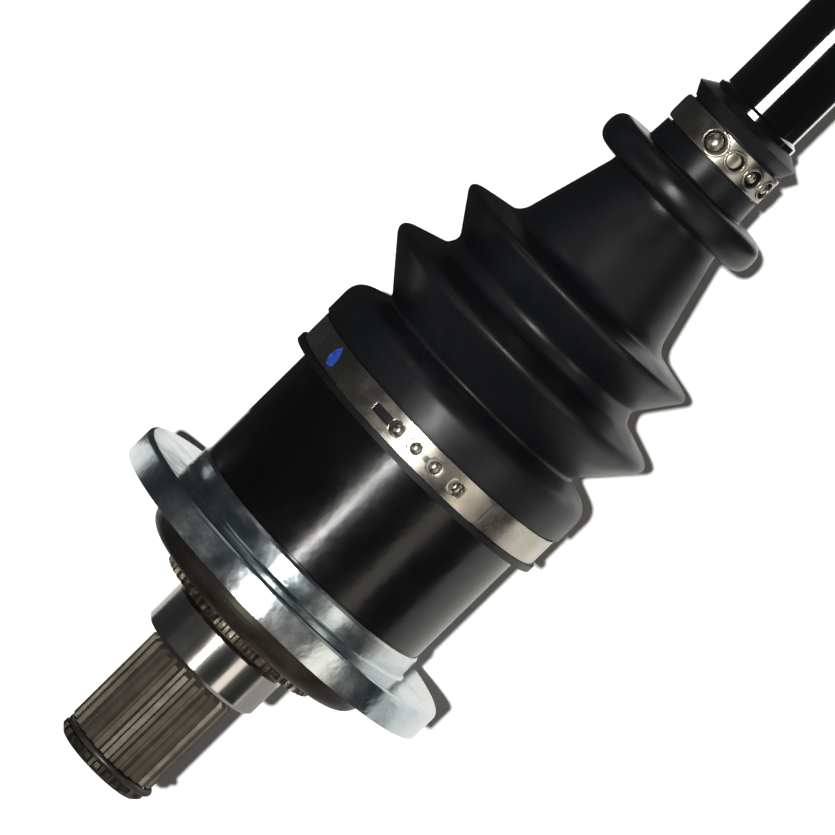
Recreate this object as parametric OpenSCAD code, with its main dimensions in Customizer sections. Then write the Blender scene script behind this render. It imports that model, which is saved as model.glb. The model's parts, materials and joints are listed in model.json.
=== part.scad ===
// CV axle: a plunging ball joint at the gearbox end, a solid bar shaft and a fixed ball joint at the hub end.
// The origin is the centre of the inboard bearing journal. +X runs along the axle towards the hub, +Z is up.
// Outlines are lists of [x, radius] or [x, radius, rounding reach], in millimetres.

/* [Inboard stub] */
// Radius of the ground journal that the gearbox bearing and seal run on
journal_r = 21.5; // [20.5:0.5:23]
// Length of the ground journal
journal_length = 15; // [12:1:16]
// Tip radius of the teeth that drive the stub
stub_spline_r = 16.5; // [15.5:0.5:18]
// Length of the stub's teeth
stub_spline_length = 42; // [30:1:46]
// Number of teeth on the stub
stub_spline_teeth = 24; // [20:1:30]
// Radius over the teeth of the toothed ring
toothed_ring_r = 29.6; // [28:0.1:31]
// Number of teeth on the toothed ring
toothed_ring_teeth = 48; // [36:2:60]

/* [Inboard housing] */
// Outer radius of the cup
housing_r = 44.2; // [44:0.1:45]
// Radius of the shoulder behind the cup
shoulder_r = 43; // [41:0.5:43.5]
// Distance from the journal to the open mouth of the cup
mouth_x = 96; // [95:0.5:97]
// Outer radius of the plated dust cover
dust_cover_r = 60.9; // [54:0.1:66]
// Width of the dust cover's rim
dust_cover_rim = 9.7; // [7:0.1:11]
// Thickness of the dust cover's sheet
dust_cover_sheet = 1.5; // [1:0.1:2]

/* [Inboard ball joint] */
// Distance from the journal to the joint's centre
inboard_joint_x = 66; // [65:0.5:67]
// Radius of the circle that the ball centres lie on
inboard_ball_circle_r = 29; // [28.9:0.1:29.1]
// Radius of a ball
inboard_ball_r = 8.7; // [8.5:0.1:8.8]

/* [Shaft] */
// Radius of the bar
shaft_r = 13.8; // [13.5:0.1:15]
// Radius of the two seats that the boots grip
boot_seat_r = 15.3; // [15.1:0.1:15.4]
// Distance from the journal to the centre of the outboard joint
outboard_joint_x = 500; // [460:5:640]

/* [Boots] */
// Thickness of the inboard boot's wall
inboard_boot_wall = 2.8; // [2.2:0.1:3]
// Thickness of the outboard boot's wall
outboard_boot_wall = 2.5; // [2:0.1:2.7]
// Number of folds on the outboard boot
outboard_folds = 5; // [4:1:6]
// Thickness of the clamp bands
band = 1; // [0.7:0.1:1.2]

/* [Outboard ball joint] */
// Radius of the bell at its mouth
bell_r = 47; // [46.8:0.1:48]
// Radius of the circle that the ball centres lie on
outboard_ball_circle_r = 32; // [31.9:0.1:32.1]
// Radius of a ball
outboard_ball_r = 9; // [8.8:0.1:9.1]

/* [Hub stub] */
// Radius of the plain seat next to the bell's shoulder
hub_seat_r = 19; // [18:0.5:22]
// Tip radius of the teeth that drive the hub
hub_spline_r = 16.5; // [15.5:0.5:17.5]
// Length of the hub teeth
hub_spline_length = 40; // [30:1:50]
// Number of teeth that drive the hub
hub_spline_teeth = 28; // [24:1:32]
// Outer radius of the thread for the hub nut
thread_r = 12; // [11:0.5:12]
// Number of turns of the thread
thread_turns = 14; // [10:1:18]
// Distance from one turn of the thread to the next
thread_pitch = 1.5; // [1.25:0.25:2]
// Radius of the hole for the nut's split pin
split_pin_hole_r = 2; // [1.5:0.25:2.5]

/* [Hidden] */
$fn = 96;
BALLS = 6;
BALL_NUMBERS = [1:BALLS];
BALL_PITCH = 360 / BALLS;

// Colours of the real materials
BLACK_PAINT = "#17181a";
MACHINED = "#6f675c";
ZINC = "#b9c2c4";
STAINLESS = "#c6bfae";
RUBBER = "#1d1f22";
BEARING_STEEL = "#a9abad";
SPRING_STEEL = "#55565a";

// General fits
PRESS_GAP = 0.05;
RUNNING_GAP = 0.3;
CHAMFER = 1.2;
TOOTH_DEPTH = 1.3;
// The plain neck next to a toothed length is this much thinner than the bottoms of its teeth
NECK_STEP = 0.6;

// Inboard stub, from its tip to the shoulder
journal_end = journal_length / 2;
stub_spline_end = -journal_end - 1;
stub_tip = stub_spline_end - stub_spline_length;
stub_root_r = stub_spline_r - TOOTH_DEPTH;
stub_neck_r = stub_root_r - NECK_STEP;
retaining_groove_x = stub_tip + 3.2;
retaining_groove_width = 2.8;
retaining_groove_r = stub_spline_r - 2.9;
retaining_wire_r = 1.2;
retaining_ring_shift = 0.9;
relief_r = journal_r - 0.7;
relief_end = journal_end + 1.8;
toothed_ring_width = 2.6;
toothed_ring_seat_r = 23.4;
shoulder_x = relief_end + toothed_ring_width + 0.2;

// Inboard cup and dust cover
cover_seat_r = housing_r - 0.3;
cover_seat_start = 24;
cover_seat_end = 42;
cup_floor_x = 30;
cup_bore_r = 34;
track_start_x = 35;
boot_groove_r = housing_r - 0.8;
stop_ring_x = mouth_x - 3.5;
stop_ring_wire_r = 1.1;
stop_ring_groove_r = cup_bore_r + 2;
dust_cover_disc_x = cover_seat_start + dust_cover_rim;

// Inboard ball joint
inboard_cage_r = cup_bore_r - RUNNING_GAP;
inboard_cage_inner_r = 27.5;
inboard_cage_half = 13;
inboard_race_r = inboard_cage_inner_r - RUNNING_GAP;
inboard_race_half = 13;
cup_track_r = inboard_ball_r + 0.35;
inboard_race_track_r = inboard_ball_r + 0.55;
race_clip_width = 1.4;

// Shaft
shaft_spline_r = 12.9;
shaft_spline_teeth = 24;
shaft_waist_r = 13.2;
shaft_start = inboard_joint_x - inboard_race_half - 3.5;

// Boots and clamps
inboard_boot_start = mouth_x - 12;
inboard_neck_start = 209.2;
inboard_neck_end = 219.8;
outboard_neck_start = outboard_joint_x - 110.6;
outboard_neck_end = outboard_joint_x - 100.2;
neck_seat_r = 17;
inboard_collar_r = 47.3;
outboard_collar_r = bell_r + 2.8;
large_clamp_width = 9.6;
small_clamp_width = 10;

// Outboard ball joint, measured from its centre
outboard_cage_r = 36;
bell_cavity_r = outboard_cage_r + RUNNING_GAP;
outboard_cage_inner_r = 30.2;
outboard_cage_half = 14;
outboard_race_r = outboard_cage_inner_r - RUNNING_GAP;
outboard_race_half = 13;
shaft_end = outboard_joint_x + outboard_race_half + 2.5;
bell_track_r = outboard_ball_r + 1.2;
outboard_race_track_r = outboard_ball_r + 2.6;
bell_track_angle = 45;
bell_mouth = -16;
bell_land_r = bell_r + 1.5;
bell_land_start = 3.6;
bell_land_end = 9.5;
bell_dome_r = norm([bell_land_end, bell_land_r]);
bell_dome_end = 40;
bell_flange_r = 30;
bell_shoulder = 50;

// Hub stub, measured from the outboard joint's centre
hub_seat_end = bell_shoulder + 12.5;
hub_spline_start = hub_seat_end + 1.5;
hub_spline_end = hub_spline_start + hub_spline_length;
hub_neck_r = hub_spline_r - TOOTH_DEPTH - NECK_STEP;
thread_start = hub_spline_end + 2.5;
thread_end = thread_start + thread_turns * thread_pitch;
thread_root_r = thread_r - 0.6 * thread_pitch;
hub_tip = thread_end + 9;

// ---- Shapes shared by the parts ----

function unit(v) = v / norm(v);
function across(v) = [-v[1], v[0]];
function place(p) = [p[0], p[1]];
function backwards(line) = [for (i = [len(line) - 1:-1:0]) line[i]];
function shifted(line, x) = [for (p = line) [p[0] + x, p[1]]];

// A smooth corner at b, which leaves the straight lines at a distance of reach from b
function corner(a, b, c, reach, steps) =
    let (from = b + unit(a - b) * reach, to = b + unit(c - b) * reach)
    [for (i = [0:steps]) let (t = i / steps) (1 - t) ^ 2 * from + 2 * t * (1 - t) * b + t ^ 2 * to];

// The outline with each corner that has a reach rounded
function rounded(line, steps = 4) = [
    for (i = [0:len(line) - 1])
        each (i == 0 || i == len(line) - 1 || len(line[i]) < 3
            ? [place(line[i])]
            : corner(place(line[i - 1]), place(line[i]), place(line[i + 1]), line[i][2], steps))
];

// The same outline moved inwards by the thickness of a wall
function inset(line, wall, tightness = 0.4) = [
    for (i = [0:len(line) - 1])
        let (
            here = place(line[i]),
            before = place(line[max(i - 1, 0)]),
            after = place(line[min(i + 1, len(line) - 1)]),
            n1 = across(unit(i == 0 ? after - here : here - before)),
            n2 = across(unit(i == len(line) - 1 ? here - before : after - here)),
            moved = here - wall * (n1 + n2) / (1 + n1 * n2)
        )
        len(line[i]) < 3 ? moved : [moved[0], moved[1], line[i][2] * tightness]
];

// Turns an outline of [x, radius] round the axle's axis
module turned(line) {
    rotate([0, 90, 0])
        rotate_extrude()
            polygon([for (p = line) [p[1], p[0]]]);
}

// A plain ring between two radii
module ring(x, width, inner_r, outer_r) {
    turned([[x, inner_r], [x, outer_r], [x + width, outer_r], [x + width, inner_r]]);
}

// Part of a ring, with its angles measured from the top towards +Y
module ring_sector(x, width, inner_r, outer_r, from, to) {
    rotate([0, 90, 0])
        rotate([0, 0, 180 - to])
            rotate_extrude(angle = to - from)
                translate([inner_r, x])
                    square([outer_r - inner_r, width]);
}

// An open ring of round wire
module wire_ring(x, ring_r, wire_r, gap_angle) {
    rotate([0, 90, 0])
        rotate([0, 0, gap_angle / 2])
            rotate_extrude(angle = 360 - gap_angle)
                translate([ring_r, x])
                    circle(wire_r);
}

// A star of straight teeth, extruded along the axle
module toothed_prism(x0, x1, tip_r, root_r, teeth) {
    pitch = 360 / teeth;
    outline = [
        for (i = [0:teeth - 1])
            each [
                for (side = [[-0.36, root_r], [-0.2, tip_r], [0.2, tip_r], [0.36, root_r]])
                    side[1] * [cos((i + side[0]) * pitch), sin((i + side[0]) * pitch)]
            ]
    ];
    translate([x0, 0, 0])
        rotate([0, 90, 0])
            linear_extrude(x1 - x0)
                polygon(outline);
}

// A toothed length of bar whose teeth run out at both ends
module splined_bar(x0, x1, tip_r, root_r, teeth) {
    end_r = root_r - 0.3;
    reach = tip_r + 1;
    run_out = reach - end_r;
    intersection() {
        toothed_prism(x0 - 1, x1 + 1, tip_r, root_r, teeth);
        turned([[x0, 0], [x0, end_r], [x0 + run_out, reach], [x1 - run_out, reach], [x1, end_r], [x1, 0]]);
    }
}

// The cone drilled by a lathe centre in the end of a shaft, opening along -X
module centre_hole(x) {
    drill_r = 1.8;
    mouth_r = 4.5;
    turned([
        [x - 1, 0], [x - 1, mouth_r], [x, mouth_r], [x + mouth_r - drill_r, drill_r],
        [x + 7, drill_r], [x + 7, 0]
    ]);
}

// Repeats a shape at each ball's place round the axis
module at_each_ball() {
    for (i = BALL_NUMBERS)
        rotate([(i - 1) * BALL_PITCH, 0, 0])
            children();
}

// A ball in the middle of its track
module ball(joint_x, circle_r, ball_r, number) {
    rotate([(number - 1) * BALL_PITCH, 0, 0])
        translate([joint_x, 0, circle_r])
            sphere(ball_r);
}

// A bowed ball track, of the given angle to each side, in the plane of the first ball
module bowed_track(joint_x, circle_r, track_r, half_angle) {
    translate([joint_x, 0, 0])
        rotate([-90, -90, 0])
            rotate([0, 0, -half_angle])
                rotate_extrude(angle = 2 * half_angle)
                    translate([circle_r, 0])
                        circle(track_r);
}

// A slice of a sphere, centred on a joint
module joint_slice(joint_x, sphere_r, half_width) {
    intersection() {
        translate([joint_x, 0, 0])
            sphere(sphere_r);
        ring(joint_x - half_width, 2 * half_width, 0, sphere_r + 1);
    }
}

// A ball cage with one window for each ball
module ball_cage(joint_x, outer_r, inner_r, half_width, ball_r) {
    window_length = 2 * (ball_r + 0.2);
    window_width = 2 * (ball_r + 1.3);
    window_inner_r = 15;
    difference() {
        joint_slice(joint_x, outer_r, half_width);
        translate([joint_x, 0, 0])
            sphere(inner_r);
        at_each_ball()
            translate([joint_x - window_length / 2, -window_width / 2, window_inner_r])
                cube([window_length, window_width, outer_r]);
    }
}

// The toothed hole that takes a shaft end
module spline_hole(x0, x1) {
    toothed_prism(
        x0, x1, shaft_spline_r + PRESS_GAP, shaft_spline_r - TOOTH_DEPTH + 0.2 + PRESS_GAP, shaft_spline_teeth
    );
}

// A band clamp: the band and the overlapping tail that faces up
module band_clamp(x, width, inner_r, tail_from, tail_to) {
    tail_margin = 1;
    ring(x, width, inner_r, inner_r + band);
    ring_sector(
        x + tail_margin, width - 2 * tail_margin, inner_r + band / 2, inner_r + 1.8 * band, tail_from, tail_to
    );
}

// ---- Inboard joint: everything that turns with the housing ----

module inboard_housing() {
    stub = [
        [stub_tip + 2, 0], [stub_tip + 2, stub_neck_r], [-journal_end, stub_neck_r],
        [-journal_end, journal_r - CHAMFER], [CHAMFER - journal_end, journal_r],
        [journal_end - CHAMFER, journal_r], [journal_end, relief_r], [relief_end, relief_r]
    ];
    shoulder = [
        [relief_end, toothed_ring_seat_r], [shoulder_x, toothed_ring_seat_r], [shoulder_x, 31, 1],
        [shoulder_x + 2.2, shoulder_r, 6.5], [cover_seat_start, shoulder_r]
    ];
    outside = [
        [cover_seat_start, cover_seat_r], [cover_seat_end, cover_seat_r], [cover_seat_end + 0.3, housing_r],
        [mouth_x - 9.8, housing_r], [mouth_x - 9, boot_groove_r], [mouth_x - 2.8, boot_groove_r],
        [mouth_x - 2, housing_r], [mouth_x - 0.8, housing_r], [mouth_x, housing_r - 0.8]
    ];
    inside = [
        [mouth_x, cup_bore_r + 2.5], [mouth_x - 2, cup_bore_r + 0.5],
        [stop_ring_x + 1.3, cup_bore_r + 0.5], [stop_ring_x + 1.3, stop_ring_groove_r],
        [stop_ring_x - 1.3, stop_ring_groove_r], [stop_ring_x - 1.3, cup_bore_r],
        [cup_floor_x, cup_bore_r, 3], [cup_floor_x, 0]
    ];
    color(BLACK_PAINT)
        difference() {
            union() {
                turned(concat(stub, rounded(shoulder, 8), outside, rounded(inside)));
                splined_bar(stub_tip, stub_spline_end, stub_spline_r, stub_root_r, stub_spline_teeth);
            }
            at_each_ball()
                translate([track_start_x, 0, inboard_ball_circle_r])
                    rotate([0, 90, 0])
                        cylinder(h = mouth_x, r = cup_track_r);
            ring(retaining_groove_x, retaining_groove_width, retaining_groove_r, stub_spline_r + 1);
            centre_hole(stub_tip);
        }
}

module stub_retaining_ring() {
    ring_r = retaining_groove_r + retaining_ring_shift + retaining_wire_r + 0.1;
    color(SPRING_STEEL)
        rotate([60, 0, 0])
            translate([0, 0, retaining_ring_shift])
                wire_ring(retaining_groove_x + retaining_groove_width / 2, ring_r, retaining_wire_r, 24);
}

module toothed_ring() {
    ring_stop = relief_end + toothed_ring_width;
    edge_r = toothed_ring_r - 0.3;
    color(MACHINED)
        difference() {
            intersection() {
                toothed_prism(relief_end, ring_stop, toothed_ring_r, toothed_ring_r - 1, toothed_ring_teeth);
                turned([[relief_end - 1, 0], [relief_end - 1, edge_r - 1], [relief_end + 1, edge_r + 1],
                    [ring_stop + 1, edge_r + 1], [ring_stop + 1, 0]]);
            }
            translate([relief_end - 1, 0, 0])
                rotate([0, 90, 0])
                    cylinder(h = toothed_ring_width + 2, r = toothed_ring_seat_r + PRESS_GAP);
        }
}

module dust_cover() {
    inner_r = cover_seat_r + PRESS_GAP;
    sleeve_r = inner_r + 1.1;
    rim_inner_r = dust_cover_r - dust_cover_sheet;
    sleeve_end = cover_seat_end - 0.5;
    outside = [
        [sleeve_end, inner_r], [sleeve_end, sleeve_r - 0.7], [sleeve_end - 0.9, sleeve_r],
        [dust_cover_disc_x, sleeve_r, 1.2], [dust_cover_disc_x, dust_cover_r, 1.6],
        [cover_seat_start, dust_cover_r]
    ];
    inside = [
        [cover_seat_start, rim_inner_r], [dust_cover_disc_x - dust_cover_sheet, rim_inner_r, 1],
        [dust_cover_disc_x - dust_cover_sheet, inner_r]
    ];
    color(ZINC)
        turned(concat(rounded(outside, 6), rounded(inside, 4)));
}

module ball_stop_ring() {
    color(SPRING_STEEL)
        wire_ring(stop_ring_x, stop_ring_groove_r - stop_ring_wire_r - 0.1, stop_ring_wire_r, 20);
}

module inboard_large_clamp() {
    color(STAINLESS)
        band_clamp(mouth_x - 9.9, large_clamp_width, inboard_collar_r + 0.1, -34, 38);
}

// ---- Inboard boot, at rest ----

// The folds from the large end's bead to the neck
inboard_bellows = [
    [mouth_x + 0.8, 49.1], [mouth_x + 12.3, 49.1, 4.5], [112.4, 37.8, 2],
    [130.6, 52.2, 3.2], [135.6, 38.4, 1.8], [139.6, 36.4, 2],
    [153.9, 45.6, 2.4], [157.2, 31.2, 2], [159.9, 28.9, 1.6],
    [188.9, 21.2, 1.6], [190.4, 21.2, 0.4], [190.5, 30.3, 5.4], [201.6, 30.3, 5.4], [201.7, 18.9, 0.8],
    [inboard_neck_start, 18.5]
];

module inboard_boot() {
    collar = [
        [inboard_boot_start, 44.5], [inboard_boot_start, 49.3], [inboard_boot_start + 2, 49.3],
        [inboard_boot_start + 2, inboard_collar_r], [mouth_x + 0.8, inboard_collar_r]
    ];
    neck = [
        [inboard_neck_start, neck_seat_r], [inboard_neck_end, neck_seat_r], [inboard_neck_end, 17.6],
        [inboard_neck_end + 4.4, 19.9], [inboard_neck_end + 7.2, boot_seat_r + 0.2]
    ];
    color(RUBBER)
        turned(concat(
            collar, rounded(inboard_bellows), neck,
            [[inboard_neck_start - 2, boot_seat_r + 0.2]],
            backwards(rounded(inset(inboard_bellows, inboard_boot_wall))),
            [[mouth_x + 0.8, 44.5]]
        ));
}

// ---- Inboard cage, balls and race ----

module inboard_cage() {
    color(BEARING_STEEL)
        ball_cage(inboard_joint_x, inboard_cage_r, inboard_cage_inner_r, inboard_cage_half, inboard_ball_r);
}

module inboard_ball(number) {
    color(BEARING_STEEL)
        ball(inboard_joint_x, inboard_ball_circle_r, inboard_ball_r, number);
}

module inboard_race() {
    start = inboard_joint_x - inboard_race_half;
    color(BEARING_STEEL)
        difference() {
            joint_slice(inboard_joint_x, inboard_race_r, inboard_race_half);
            at_each_ball()
                translate([start - 1, 0, inboard_ball_circle_r])
                    rotate([0, 90, 0])
                        cylinder(h = 2 * inboard_race_half + 2, r = inboard_race_track_r);
            spline_hole(start - 1, start + 2 * inboard_race_half + 1);
        }
}

module inboard_race_clip() {
    color(SPRING_STEEL)
        shaft_ring(inboard_joint_x - inboard_race_half - 0.2 - race_clip_width);
}

module inboard_race_stop() {
    color(SPRING_STEEL)
        shaft_ring(inboard_joint_x + inboard_race_half + 0.2);
}

// An open ring in a groove of the shaft's toothed end
module shaft_ring(x) {
    ring_sector(x, race_clip_width, shaft_groove_r() + PRESS_GAP, shaft_spline_r + 1.6, 15, 345);
}

function shaft_groove_r() = shaft_spline_r - TOOTH_DEPTH - 0.4;

module shaft_groove(x) {
    ring(x - 0.1, race_clip_width + 0.2, shaft_groove_r(), shaft_spline_r + 1);
}

// ---- Shaft and its clamps ----

module axle_shaft() {
    root_r = shaft_spline_r - TOOTH_DEPTH;
    neck_r = root_r - NECK_STEP;
    inboard_spline_end = inboard_joint_x + inboard_race_half + 4;
    outboard_spline_start = outboard_joint_x - outboard_race_half - 4;
    color(BLACK_PAINT)
        difference() {
            union() {
                turned([
                    [shaft_start + 2, 0], [shaft_start + 2, neck_r],
                    [inboard_spline_end + 1, neck_r], [inboard_spline_end + 3, shaft_waist_r],
                    [inboard_neck_start - 19, shaft_waist_r], [inboard_neck_start - 12, boot_seat_r],
                    [inboard_neck_end + 9, boot_seat_r], [inboard_neck_end + 10, shaft_r],
                    [outboard_neck_start - 10, shaft_r], [outboard_neck_start - 9, boot_seat_r],
                    [outboard_neck_end + 5, boot_seat_r], [outboard_neck_end + 10, shaft_waist_r],
                    [outboard_spline_start - 3, shaft_waist_r], [outboard_spline_start - 1, neck_r],
                    [shaft_end - 2, neck_r], [shaft_end - 2, 0]
                ]);
                splined_bar(shaft_start, inboard_spline_end, shaft_spline_r, root_r, shaft_spline_teeth);
                splined_bar(outboard_spline_start, shaft_end, shaft_spline_r, root_r, shaft_spline_teeth);
            }
            shaft_groove(inboard_joint_x - inboard_race_half - 0.2 - race_clip_width);
            shaft_groove(inboard_joint_x + inboard_race_half + 0.2);
            shaft_groove(outboard_joint_x + outboard_race_half + 0.2);
        }
}

module inboard_small_clamp() {
    color(STAINLESS)
        band_clamp(inboard_neck_start + 0.3, small_clamp_width, neck_seat_r + 0.1, -70, 40);
}

module outboard_small_clamp() {
    color(STAINLESS)
        band_clamp(outboard_neck_start + 0.2, small_clamp_width, neck_seat_r + 0.1, -40, 70);
}

// ---- Outboard joint ----

module outboard_race() {
    start = outboard_joint_x - outboard_race_half;
    color(BEARING_STEEL)
        difference() {
            joint_slice(outboard_joint_x, outboard_race_r, outboard_race_half);
            at_each_ball()
                bowed_track(outboard_joint_x, outboard_ball_circle_r, outboard_race_track_r, 60);
            spline_hole(start - 1, start + 2 * outboard_race_half + 1);
        }
}

module outboard_race_clip() {
    color(SPRING_STEEL)
        shaft_ring(outboard_joint_x + outboard_race_half + 0.2);
}

module outboard_cage() {
    color(BEARING_STEEL)
        ball_cage(
            outboard_joint_x, outboard_cage_r, outboard_cage_inner_r, outboard_cage_half, outboard_ball_r
        );
}

module outboard_ball(number) {
    color(BEARING_STEEL)
        ball(outboard_joint_x, outboard_ball_circle_r, outboard_ball_r, number);
}

// The folds from the neck to the bell, growing by equal steps
outboard_fold_pitch = 60 / (outboard_folds - 1);
outboard_bellows = concat(
    [[outboard_neck_end, 18.5], [outboard_joint_x - 94.5, 18.8, 1.5]],
    [
        for (i = [0:outboard_folds - 1])
            let (
                tip_x = outboard_joint_x - 89 + i * outboard_fold_pitch,
                grown = i / (outboard_folds - 1)
            )
            each [
                [tip_x, 27.5 + 25.5 * grown, 2.4],
                [tip_x + outboard_fold_pitch / 2, 23.5 + 23.5 * grown, 2.4]
            ]
    ],
    [[outboard_joint_x - 17.5, 51.3, 2.2], [outboard_joint_x - 13, 51.3]]
);

module outboard_boot() {
    lip = [
        [outboard_neck_start - 7.2, boot_seat_r + 0.2], [outboard_neck_start - 4.4, 19.9],
        [outboard_neck_start, 17.6], [outboard_neck_start, neck_seat_r], [outboard_neck_end, neck_seat_r]
    ];
    collar = [
        [outboard_joint_x - 13, outboard_collar_r], [outboard_joint_x - 2, outboard_collar_r],
        [outboard_joint_x - 2, outboard_collar_r + 2], [outboard_joint_x, outboard_collar_r + 2],
        [outboard_joint_x, bell_r + 0.3], [outboard_joint_x - 13, bell_r + 0.3]
    ];
    color(RUBBER)
        turned(concat(
            lip, rounded(outboard_bellows), collar,
            backwards(rounded(inset(outboard_bellows, outboard_boot_wall))),
            [[outboard_neck_end + 2, boot_seat_r + 0.2]]
        ));
}

module outboard_large_clamp() {
    color(STAINLESS)
        band_clamp(outboard_joint_x - 12.5, large_clamp_width, outboard_collar_r + 0.1, -38, 34);
}

// The round hollow that the outboard cage turns in, with a flared mouth, measured from the joint's centre
module bell_cavity() {
    flare_start = -10.2;
    flare_r = bell_r - 6;
    drill_point_r = 3;
    rotate([0, 90, 0])
        rotate_extrude()
            intersection() {
                union() {
                    circle(bell_cavity_r);
                    polygon([[0, bell_mouth - 1], [flare_r + 1, bell_mouth - 1],
                        [bell_cavity_r - 1.3, flare_start], [0, flare_start]]);
                    square([drill_point_r, bell_cavity_r + 0.8]);
                }
                translate([0, bell_mouth - 1])
                    square([bell_r, 2 * bell_r]);
            }
}

module outboard_bell() {
    outside = [
        [bell_mouth, bell_r - 6], [bell_mouth, bell_r - 0.8], [bell_mouth + 0.8, bell_r],
        [-12.6, bell_r], [-12, bell_r - 0.7], [-3, bell_r - 0.7], [-2.4, bell_r],
        [bell_land_start - 0.6, bell_r], [bell_land_start, bell_land_r]
    ];
    dome = [
        for (x = [bell_land_end:(bell_dome_end - bell_land_end) / 12:bell_dome_end + 0.01])
            [x, sqrt(bell_dome_r ^ 2 - x ^ 2)]
    ];
    stub = [
        [bell_dome_end + 1, bell_flange_r], [bell_shoulder - 0.8, bell_flange_r],
        [bell_shoulder, bell_flange_r - 0.8], [bell_shoulder, hub_seat_r],
        [hub_seat_end - 1, hub_seat_r], [hub_seat_end, hub_seat_r - 1],
        [hub_seat_end, hub_neck_r], [hub_spline_end - 2, hub_neck_r], [hub_spline_end - 2, thread_root_r],
        [thread_start, thread_root_r]
    ];
    thread = [
        for (turn = [0:thread_turns - 1])
            each [
                [thread_start + (turn + 0.06) * thread_pitch, thread_root_r],
                [thread_start + (turn + 0.44) * thread_pitch, thread_r],
                [thread_start + (turn + 0.56) * thread_pitch, thread_r],
                [thread_start + (turn + 0.94) * thread_pitch, thread_root_r]
            ]
    ];
    tip = [
        [thread_end, thread_root_r], [hub_tip - 1, thread_root_r], [hub_tip, thread_root_r - 1], [hub_tip, 0]
    ];
    color(BLACK_PAINT)
        translate([outboard_joint_x, 0, 0])
            difference() {
                union() {
                    turned(concat(outside, dome, stub, thread, tip, [[bell_mouth, 0]]));
                    splined_bar(
                        hub_spline_start, hub_spline_end, hub_spline_r, hub_spline_r - TOOTH_DEPTH,
                        hub_spline_teeth
                    );
                }
                bell_cavity();
                at_each_ball()
                    bowed_track(0, outboard_ball_circle_r, bell_track_r, bell_track_angle);
                translate([thread_end + 4, 0, 0])
                    cylinder(h = 3 * thread_r, r = split_pin_hole_r, center = true);
                mirror([1, 0, 0])
                    centre_hole(-hub_tip);
            }
}

module bell_dust_shield() {
    inner_r = bell_land_r + PRESS_GAP;
    shield_r = bell_land_r + 8.5;
    sleeve_start = bell_land_start + 0.4;
    disc_x = bell_land_end;
    sheet = 1.3;
    color(ZINC)
        turned(shifted(rounded([
            [sleeve_start, inner_r], [sleeve_start, inner_r + sheet], [disc_x, inner_r + sheet, 0.8],
            [disc_x, shield_r, 1.4], [disc_x + 6, shield_r], [disc_x + 6, shield_r - sheet],
            [disc_x + sheet, shield_r - sheet, 0.8], [disc_x + sheet, inner_r, 0.8], [sleeve_start, inner_r]
        ]), outboard_joint_x));
}

// ---- Nodes ----

inboard_housing();
stub_retaining_ring();
toothed_ring();
dust_cover();
ball_stop_ring();
inboard_large_clamp();
inboard_boot();
inboard_cage();
for (i = BALL_NUMBERS)
    inboard_ball(i);
inboard_race();
inboard_race_clip();
inboard_race_stop();
axle_shaft();
inboard_small_clamp();
outboard_small_clamp();
outboard_boot();
outboard_large_clamp();
outboard_race();
outboard_race_clip();
outboard_cage();
for (i = BALL_NUMBERS)
    outboard_ball(i);
outboard_bell();
bell_dust_shield();
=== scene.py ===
"""The axle lies along X, with the gearbox stub at negative X and the hub stub at positive X. Lengths are in
metres, apart from the boots' outlines, which are in millimetres.
"""

import json
import math

import bmesh
import bpy
from mathutils import Matrix, Vector


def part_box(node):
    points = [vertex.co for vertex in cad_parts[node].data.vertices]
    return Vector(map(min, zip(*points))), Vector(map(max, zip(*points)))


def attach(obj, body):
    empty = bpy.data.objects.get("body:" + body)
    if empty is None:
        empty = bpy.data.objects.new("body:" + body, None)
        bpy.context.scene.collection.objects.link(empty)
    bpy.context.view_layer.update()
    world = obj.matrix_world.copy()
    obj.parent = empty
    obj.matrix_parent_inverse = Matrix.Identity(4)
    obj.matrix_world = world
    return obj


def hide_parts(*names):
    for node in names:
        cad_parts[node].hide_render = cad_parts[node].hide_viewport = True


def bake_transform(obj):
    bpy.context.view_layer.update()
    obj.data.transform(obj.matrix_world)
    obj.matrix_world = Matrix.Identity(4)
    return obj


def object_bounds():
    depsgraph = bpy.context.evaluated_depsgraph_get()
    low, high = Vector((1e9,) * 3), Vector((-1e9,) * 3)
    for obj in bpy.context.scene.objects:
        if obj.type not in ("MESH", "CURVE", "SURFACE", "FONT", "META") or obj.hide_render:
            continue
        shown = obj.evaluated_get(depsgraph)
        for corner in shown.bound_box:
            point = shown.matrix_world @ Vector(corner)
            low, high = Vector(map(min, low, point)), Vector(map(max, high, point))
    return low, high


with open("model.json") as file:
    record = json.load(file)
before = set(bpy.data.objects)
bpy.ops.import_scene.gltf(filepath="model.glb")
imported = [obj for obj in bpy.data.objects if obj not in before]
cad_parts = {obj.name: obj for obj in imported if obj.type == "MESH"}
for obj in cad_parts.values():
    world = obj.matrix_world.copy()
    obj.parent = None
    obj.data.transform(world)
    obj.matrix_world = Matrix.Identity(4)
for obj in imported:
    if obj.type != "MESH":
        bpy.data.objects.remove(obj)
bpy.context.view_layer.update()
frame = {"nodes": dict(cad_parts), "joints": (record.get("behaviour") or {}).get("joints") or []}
NODES = frame["nodes"]
MM = 0.001


# ---- Sizes, read from the frame ----

JOINT_AT = {joint["name"]: joint.get("pos_m") for joint in frame["joints"]}
INBOARD_CENTRE = JOINT_AT["inboard_tilt"][0]
OUTBOARD_CENTRE = JOINT_AT["outboard_tilt"][0]
STUB_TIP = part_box("inboard_housing")[0].x
COVER_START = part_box("dust_cover")[0].x
SMALL_CLAMP_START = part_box("inboard_small_clamp")[0].x
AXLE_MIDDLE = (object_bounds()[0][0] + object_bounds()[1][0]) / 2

# ---- Materials ----


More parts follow.
